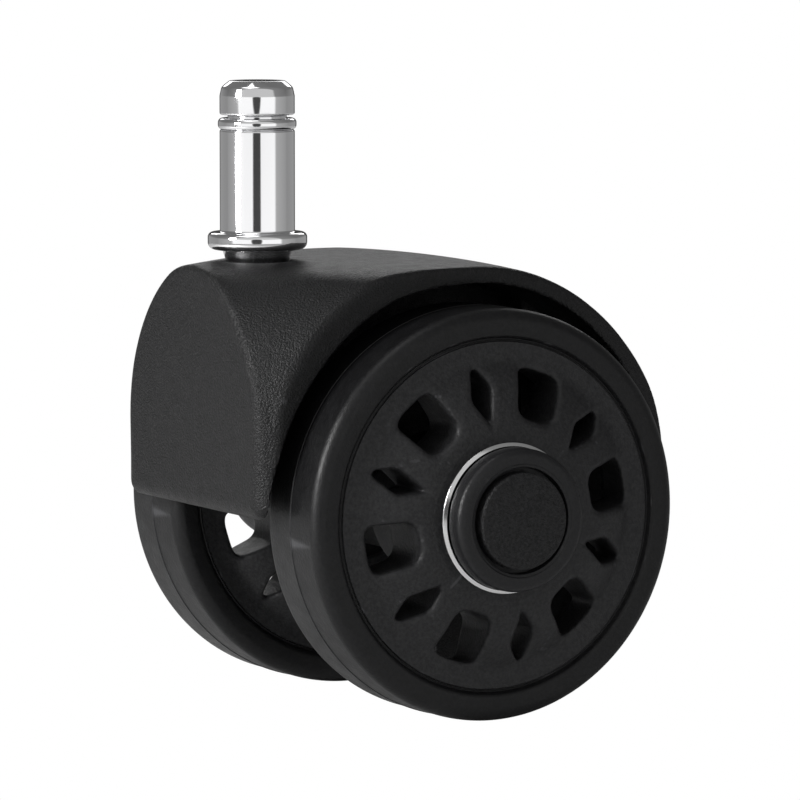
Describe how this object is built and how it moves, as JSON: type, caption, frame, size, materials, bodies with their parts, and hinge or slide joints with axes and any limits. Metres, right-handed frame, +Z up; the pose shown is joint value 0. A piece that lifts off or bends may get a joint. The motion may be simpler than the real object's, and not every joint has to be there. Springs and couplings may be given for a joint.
{
  "type": "twin-wheel chair caster",
  "caption": "Swivel caster with a hooded pair of soft-tyred wheels on one axle and a push-fit grip-ring stem.",
  "frame": {"origin": "on the stem axis at the top face of the stem's flange, where the chair leg rests", "axes": "+X from the stem towards the axle (the trail direction), +Z up along the stem, +Y towards the right wheel"},
  "size_m": [0.0696, 0.0742, 0.092],
  "materials": {
    "chrome": "mirror polished",
    "spring_steel": "dark oiled spring steel",
    "plain_steel": "plain drawn steel",
    "bush_plastic": "natural nylon",
    "hood_plastic": "fine spark-eroded grain",
    "tyre_rubber": "satin moulded polyurethane",
    "wheel_plastic": "semi-matte moulded",
    "ring_metal": "bright plated",
    "cap_plastic": "satin moulded",
    "plug_plastic": "fine matte grain"
  },
  "bodies": {
    "stem": {"stem": "chrome", "grip_ring": "chrome", "stem_snap_ring": "spring_steel"},
    "housing": {"housing": "hood_plastic", "swivel_sleeve": "plain_steel", "thrust_pad": "bush_plastic", "axle": "plain_steel", "inner_washer_left": "plain_steel", "outer_washer_left": "plain_steel", "axle_retainer_left": "spring_steel", "inner_washer_right": "plain_steel", "outer_washer_right": "plain_steel", "axle_retainer_right": "spring_steel"},
    "left_wheel": {"tyre_left": "tyre_rubber", "wheel_core_left": "wheel_plastic", "hub_ring_left": "ring_metal", "wheel_bush_left": "bush_plastic", "hub_cap_left": "cap_plastic", "cap_plug_left": "plug_plastic"},
    "right_wheel": {"tyre_right": "tyre_rubber", "wheel_core_right": "wheel_plastic", "hub_ring_right": "ring_metal", "wheel_bush_right": "bush_plastic", "hub_cap_right": "cap_plastic", "cap_plug_right": "plug_plastic"}
  },
  "joints": [
    {"name": "swivel", "type": "hinge", "parent": "stem", "child": "housing", "pos_m": [0, 0, 0], "axis": [0, 0, 1], "continuous": true},
    {"name": "left_roll", "type": "hinge", "parent": "housing", "child": "left_wheel", "pos_m": [0.0235, -0.0219, -0.04], "axis": [0, 1, 0], "continuous": true},
    {"name": "right_roll", "type": "hinge", "parent": "housing", "child": "right_wheel", "pos_m": [0.0235, 0.0219, -0.04], "axis": [0, 1, 0], "continuous": true}
  ]
}
